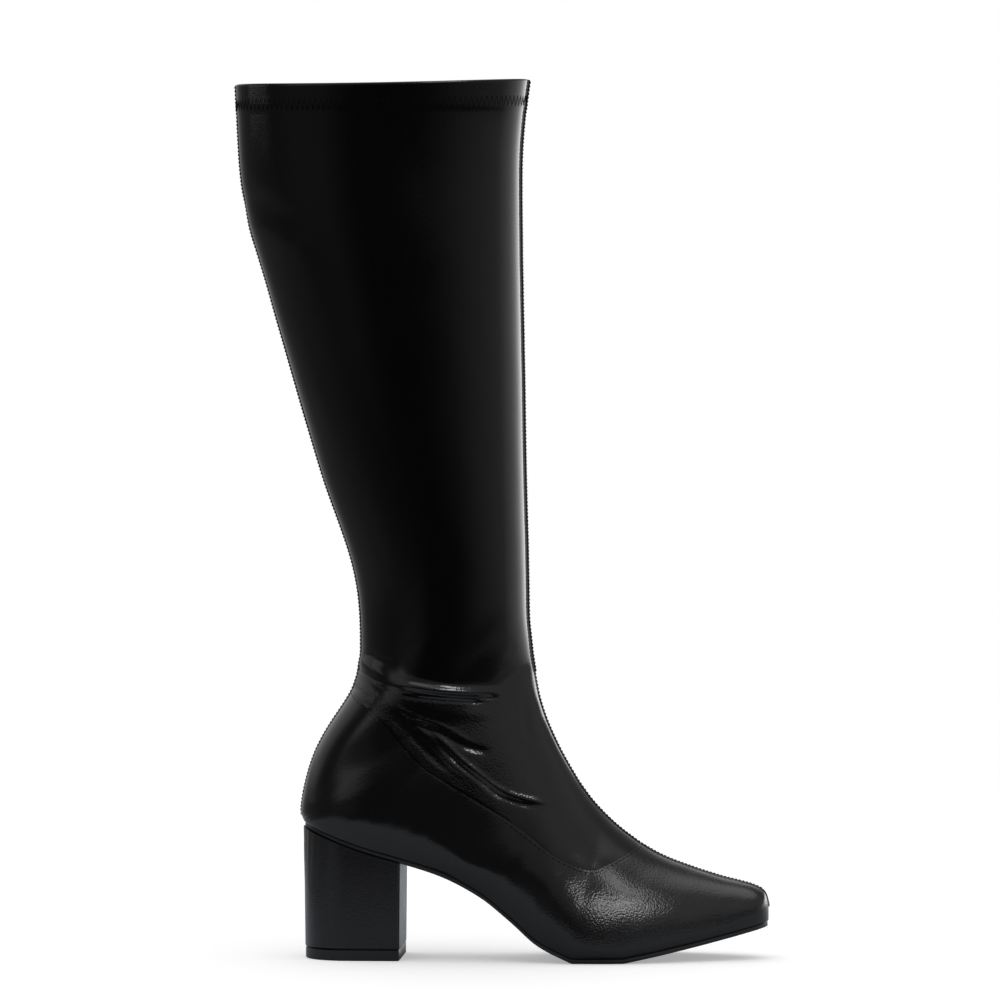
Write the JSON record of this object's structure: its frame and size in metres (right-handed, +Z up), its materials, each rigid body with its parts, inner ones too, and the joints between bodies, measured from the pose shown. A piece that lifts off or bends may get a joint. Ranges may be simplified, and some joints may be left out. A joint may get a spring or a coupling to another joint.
{
  "type": "tall stretch boot",
  "caption": "Knee-high glossy black stretch boot for the right foot, with a snip toe, a block heel, a hemmed collar and a thin sole; hollow and open at the top.",
  "frame": {"origin": "on the floor, at the middle of the whole boot's length and width", "axes": "+X towards the toe, +Y towards the inner side of the right foot, +Z up along the leg"},
  "size_m": [0.2872, 0.0815, 0.4697],
  "materials": {
    "foot_skin": "gloss",
    "leg_skin": "gloss",
    "sock": "matte",
    "sole_rubber": "satin",
    "heel_wrap": "gloss",
    "top_piece_rubber": "satin"
  },
  "bodies": {
    "root": {"upper": "foot_skin", "shaft": "leg_skin", "insole": "sock", "outsole": "sole_rubber", "heel": "heel_wrap", "top_piece": "top_piece_rubber"}
  },
  "joints": []
}
